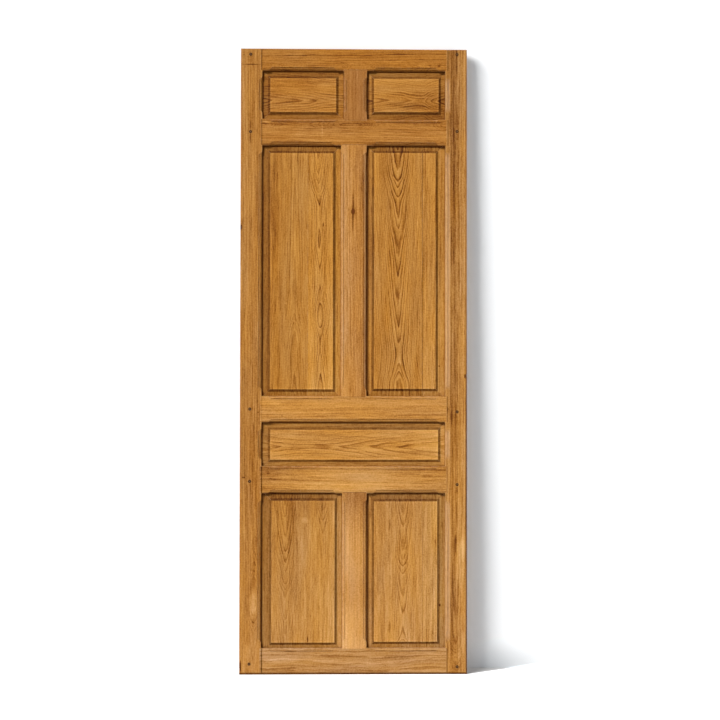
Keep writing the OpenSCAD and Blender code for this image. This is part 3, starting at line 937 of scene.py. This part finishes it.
def seams_of(name):
    """Dark lines of a board, each as its axis, place and strength, and the span that it runs over."""
    if name in SEAMS:
        return [("X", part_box(name)[0].x, SEAMS[name], *span_z(name))]
    if name == "right_stile":
        return [
            end_line(rail, INNER_RIGHT, RIGHT_LINE_SET, RIGHT_LINE_DRIFT, JOINTS[rail][1])
            for rail in RAILS
        ]
    if name in RAILS:
        return [end_line(name, INNER_LEFT, LEFT_LINE_SET, LEFT_LINE_DRIFT, JOINTS[name][0])]
    if name not in JOINTS:
        return []
    row = {"top_muntin": TOP_ROW, "middle_muntin": UPPER_ROW, "bottom_muntin": LOWER_ROW}[name]
    foot, head = JOINTS[name]
    return [
        ("Z", row[0] - SHOULDER_SET, foot, *span_x(name)),
        ("Z", row[1] + SHOULDER_SET, head, *span_x(name)),
    ]


# Strips of pale residue beside the openings, and a painted highlight with pale wear on the middle muntin's
# right arris: middle and half sizes
STRIP_W = 0.016
STRIP_STOP = 0.03
ARRIS_W = 0.003
ARRIS_INSET = 0.0045
UPPER_MIDDLE = sum(UPPER_ROW) / 2
UPPER_HALF = (UPPER_ROW[1] - UPPER_ROW[0]) / 2 - STRIP_STOP
STRIPS = {
    "right_stile": [
        (INNER_RIGHT + STRIP_W / 2, (low + high) / 2, STRIP_W / 2, (high - low) / 2 - STRIP_STOP)
        for low, high in (TOP_ROW, UPPER_ROW, LOCK_ROW, LOWER_ROW)
    ],
    "middle_muntin": [
        (span_x("middle_muntin")[1] - ARRIS_INSET, UPPER_MIDDLE, ARRIS_W / 2, UPPER_HALF),
    ],
}

for name, (grain, figure) in FIGURES.items():
    mesh = nodes[name].data
    mesh.materials.clear()
    mesh.materials.append(
        pine(
            name, grain, figure, TONES[name], SHADES.get(name, {}), panel_of(name), MARKS.get(name, ()),
            seams_of(name), STRIPS.get(name, ())))


PEG_RIM_SHARES = (0.3, 0.75)
PEG_RIM_DEPTH = 0.75
PEG_SPOT_WAVES = 420.0
PEG_SPOT_LEVELS = (0.3, 0.7)
PEG_SPOT_TONES = (0.3, 0.9)
PEG_DARK = linear((48, 24, 9))
PEG_LIGHT = linear((150, 108, 66))
PEG_ROUGHNESS = 0.6


def peg_material():
    """End grain of a peg: a dark rim round a greyer middle."""
    g = Graph("peg_end_grain")
    place = g.node("ShaderNodeTexCoord").outputs["Object"]
    x, _, z = g.split(place)
    spots = g.noise(place, PEG_SPOT_WAVES, detail=3.0, roughness=GRIME_ROUGHNESS)
    rim = g.fit(peg_distance(g, x, z), *[PEG_R * share for share in PEG_RIM_SHARES])
    tone = g.add(g.fit(spots, *PEG_SPOT_LEVELS, *PEG_SPOT_TONES), g.mul(rim, -PEG_RIM_DEPTH))
    shader = g.node("ShaderNodeBsdfPrincipled")
    g.put(shader.inputs["Base Color"], g.ramp(tone, [(0.0, PEG_DARK), (1.0, PEG_LIGHT)]))
    shader.inputs["Roughness"].default_value = PEG_ROUGHNESS
    shader.inputs["Specular IOR Level"].default_value = SPECULAR
    return g.finish(shader.outputs[0])


peg_mesh = nodes["joint_pegs"].data
peg_mesh.materials.clear()
peg_mesh.materials.append(peg_material())

# The wall leans to the top of the leaf
WALL_TOP_Y = 0.03
WALL_FOOT_Y = 0.072
WALL_HEIGHT = 4.0
WALL_HALF = 6.0
FLOOR_HALF = 8.0
WALL_ALBEDO = 0.95
FLOOR_ALBEDO = 0.8
# A faint glow of the wall, which takes the warm light of the wood out of its shadow
WALL_GLOW = (0.6, 0.8, 0.96, 1)
WALL_GLOW_STRENGTH = 0.1
WHITE = (1, 1, 1, 1)
# Left of the leaf the floor is white up to the wall
LEFT_FADE_X = (-0.39, -0.37)
# Painted shadow edge: in front of a line that runs back across the floor and then up the wall's foot, the
# stage is painted white
FLOOR_EDGE_SLOPE = 0.55
FLOOR_EDGE_Y = (-0.032, -0.01)
WALL_EDGE_X = 0.53
WALL_EDGE_SLOPE = 0.143
WALL_EDGE_Z = (-0.01, 0.008)
# Painted shadow haze on the wall's foot: how far it reaches, and how dark it is
HAZE_NEAR_X = (0.42, 0.5)
HAZE_NEAR_SHARE = 0.25
HAZE_FAR_X = (0.5, 0.78)
HAZE_Z = 0.12
HAZE_SHARE = 0.4
# Share of the floor's albedo in its painted shadow
SHADOW_FLOOR_SHARE = 0.85


def stage_surface(g, shade, glow, strength):
    """Matt surface with a glow that only the camera sees."""
    matt = g.node("ShaderNodeBsdfDiffuse")
    g.put(matt.inputs["Color"], g.vector(shade, shade, shade))
    light = g.node("ShaderNodeEmission")
    g.put(light.inputs["Color"], glow)
    seen = g.node("ShaderNodeLightPath").outputs["Is Camera Ray"]
    g.put(light.inputs["Strength"], g.mul(seen, strength))
    both = g.node("ShaderNodeAddShader")
    g.put(both.inputs[0], matt.outputs[0])
    g.put(both.inputs[1], light.outputs[0])
    return both.outputs[0]


def floor_material():
    """White floor, painted darker in the shadow behind the leaf and on its right, where its glow also stops.
    """
    g = Graph("floor_white")
    x, y, _ = g.split(g.node("ShaderNodeTexCoord").outputs["Object"])
    # Painted shadow: the glow stops behind a slanting front edge right of the leaf, and the floor is painted
    # darker there
    edge = g.math("MULTIPLY_ADD", g.sub(x, DOOR_RIGHT), -FLOOR_EDGE_SLOPE, y)
    in_front = g.math("MINIMUM", edge, y)
    white = g.most(
        g.fit(x, *LEFT_FADE_X, 1.0, 0.0, smooth=True),
        g.fit(in_front, *FLOOR_EDGE_Y, 1.0, 0.0, smooth=True))
    shade = g.fit(white, 0.0, 1.0, FLOOR_ALBEDO * SHADOW_FLOOR_SHARE, FLOOR_ALBEDO)
    return g.finish(stage_surface(g, shade, WHITE, white))


def wall_material():
    """White wall, clear from behind, with a painted shadow haze at its foot and painted white below the
    shadow's slanting edge.
    """
    g = Graph("wall_white")
    x, _, z = g.split(g.node("ShaderNodeTexCoord").outputs["Object"])
    # Painted shadow haze at the wall's foot, right of the leaf
    haze = g.mul(
        g.fit(x, *HAZE_NEAR_X, HAZE_NEAR_SHARE, 1.0, smooth=True),
        g.fit(x, *HAZE_FAR_X, 1.0, 0.0, smooth=True))
    haze = g.mul(haze, g.fit(z, 0.0, HAZE_Z, 1.0, 0.0, smooth=True))
    haze = g.mul(haze, g.fit(x, *LEFT_FADE_X, smooth=True))
    shade = g.fit(haze, 0.0, 1.0, WALL_ALBEDO, WALL_ALBEDO * (1.0 - HAZE_SHARE))
    # Below the slanting edge the wall is painted white, cutting off the shadow
    edge = g.math("MULTIPLY_ADD", g.sub(x, WALL_EDGE_X), -WALL_EDGE_SLOPE, z)
    below = g.fit(edge, *WALL_EDGE_Z, 1.0, 0.0, smooth=True)
    glow = g.blend(below, WALL_GLOW, WHITE)
    sided = g.node("ShaderNodeMixShader")
    g.put(sided.inputs[0], g.node("ShaderNodeNewGeometry").outputs["Backfacing"])
    g.put(sided.inputs[1], stage_surface(g, shade, glow, g.most(below, WALL_GLOW_STRENGTH)))
    g.put(sided.inputs[2], g.node("ShaderNodeBsdfTransparent").outputs[0])
    return g.finish(sided.outputs[0])


def sheet(name, corners, material):
    """A flat four-cornered stage surface."""
    mesh = bpy.data.meshes.new(name)
    mesh.from_pydata(corners, [], [(0, 1, 2, 3)])
    mesh.materials.append(material)
    made = bpy.data.objects.new(name, mesh)
    bpy.context.scene.collection.objects.link(made)
    return made


wall_head_y = WALL_FOOT_Y + (WALL_TOP_Y - WALL_FOOT_Y) * WALL_HEIGHT / DOOR_TOP
floor = sheet(
    "floor",
    [
        (-FLOOR_HALF, -FLOOR_HALF, 0),
        (FLOOR_HALF, -FLOOR_HALF, 0),
        (FLOOR_HALF, FLOOR_HALF, 0),
        (-FLOOR_HALF, FLOOR_HALF, 0),
    ],
    floor_material())
wall = sheet(
    "wall",
    [
        (-WALL_HALF, WALL_FOOT_Y, 0),
        (WALL_HALF, WALL_FOOT_Y, 0),
        (WALL_HALF, wall_head_y, WALL_HEIGHT),
        (-WALL_HALF, wall_head_y, WALL_HEIGHT),
    ],
    wall_material())
wall.visible_shadow = False
wall.visible_diffuse = False
wall.visible_glossy = False
wall.visible_transmission = False


def sun(name, energy, angle, heading, receivers):
    """A distant lamp that lights only the objects that are given."""
    lamp = bpy.data.lights.new(name, "SUN")
    lamp.energy = energy
    lamp.angle = angle
    made = bpy.data.objects.new(name, lamp)
    made.rotation_mode = "QUATERNION"
    made.rotation_quaternion = Vector(heading).to_track_quat("-Z", "Y")
    bpy.context.scene.collection.objects.link(made)
    lit = bpy.data.collections.new(name + "_lights")
    for item in receivers:
        lit.objects.link(item)
    made.light_linking.receiver_collection = lit


# Light: a key from the upper left on the leaf, a softer one on the wall and the floor, an even surround
KEY = dict(energy=3.85, angle=0.1, heading=(0.9, 1.0, -1.3))
STAGE_KEY = dict(energy=4.5, angle=0.6, heading=(1.36, 1.0, -0.9))
# The surround is dimmer in front of the leaf than behind it: the levels, and where it changes between them
SURROUND_LEVELS = (0.16, 1.0)
SURROUND_FADE = (0.0, 0.8)

sun("key", receivers=nodes.values(), **KEY)
sun("stage_key", receivers=(wall, floor), **STAGE_KEY)

world = bpy.data.worlds.new("surround")
bpy.context.scene.world = world
world.use_nodes = True
tree = world.node_tree
tree.nodes.clear()
sky = tree.nodes.new("ShaderNodeBackground")
sky.inputs["Color"].default_value = WHITE
seen = tree.nodes.new("ShaderNodeBackground")
seen.inputs["Color"].default_value = WHITE
seen.inputs["Strength"].default_value = 1.0
direction = tree.nodes.new("ShaderNodeTexCoord")
parts = tree.nodes.new("ShaderNodeSeparateXYZ")
behind = tree.nodes.new("ShaderNodeMapRange")
behind.interpolation_type = "SMOOTHSTEP"
for socket, value in zip(behind.inputs[1:], (*SURROUND_FADE, *SURROUND_LEVELS)):
    socket.default_value = value
path = tree.nodes.new("ShaderNodeLightPath")
either = tree.nodes.new("ShaderNodeMath")
either.operation = "MAXIMUM"
pick = tree.nodes.new("ShaderNodeMixShader")
out = tree.nodes.new("ShaderNodeOutputWorld")
tree.links.new(direction.outputs["Generated"], parts.inputs[0])
tree.links.new(parts.outputs[1], behind.inputs[0])
tree.links.new(behind.outputs[0], sky.inputs["Strength"])
tree.links.new(path.outputs["Is Camera Ray"], either.inputs[0])
tree.links.new(path.outputs["Is Transmission Ray"], either.inputs[1])
tree.links.new(either.outputs[0], pick.inputs[0])
tree.links.new(sky.outputs[0], pick.inputs[1])
tree.links.new(seen.outputs[0], pick.inputs[2])
tree.links.new(pick.outputs[0], out.inputs["Surface"])

# Camera: its place, its turns in degrees, and its lens and sensor in millimetres
CAMERA_PLACE = (-0.0431, -4.0151, 0.979)
PAN = -0.923
TILT = 1.032
ROLL = -0.078
LEVEL = 90
LENS_MM = 59.54
SENSOR_MM = 36.0

lens = bpy.data.cameras.new("camera")
lens.sensor_width = SENSOR_MM
lens.lens = LENS_MM
camera = bpy.data.objects.new("camera", lens)
stand = Matrix.Translation(CAMERA_PLACE)
for angle, axis in ((PAN, "Z"), (TILT, "X"), (ROLL, "Y"), (LEVEL, "X")):
    stand = stand @ Matrix.Rotation(radians(angle), 4, axis)
camera.matrix_world = stand
bpy.context.scene.collection.objects.link(camera)
bpy.context.scene.camera = camera
bpy.context.scene.view_settings.view_transform = "Standard"
